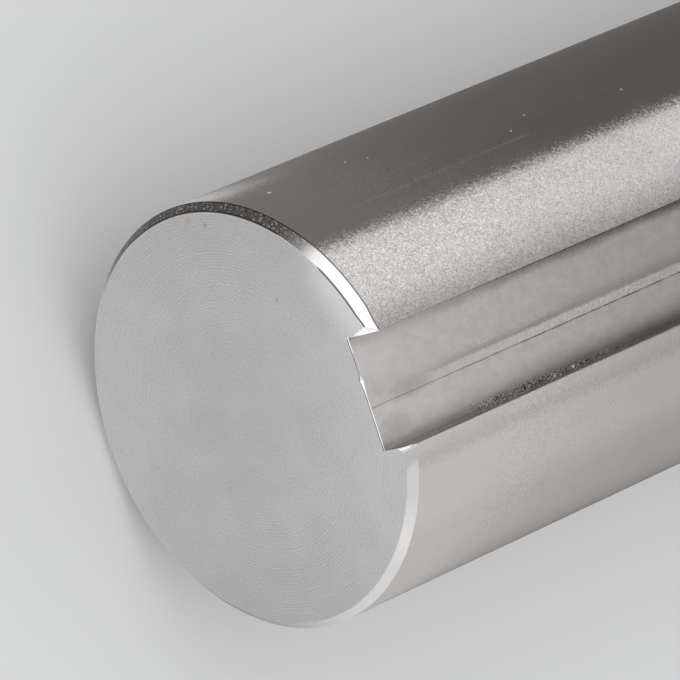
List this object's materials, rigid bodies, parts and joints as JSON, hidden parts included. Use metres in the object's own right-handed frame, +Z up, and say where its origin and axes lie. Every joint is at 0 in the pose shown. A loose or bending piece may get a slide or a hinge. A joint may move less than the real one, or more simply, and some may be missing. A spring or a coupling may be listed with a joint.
{
  "type": "keyed shaft",
  "caption": "Round ground steel shaft with chamfered ends and a shallow rectangular keyway along its full length, for keying gears, pulleys, sprockets and couplings to it.",
  "frame": {"origin": "on the level ground that the bar lies on, under the middle of its length", "axes": "+X along the bar's axis, +Z up through the keyway's mouth"},
  "size_m": [0.3048, 0.0364, 0.0358],
  "materials": {
    "ground_steel": "ground bare steel, turned ends, milled keyway"
  },
  "bodies": {
    "root": {"shaft": "ground_steel"}
  },
  "joints": []
}
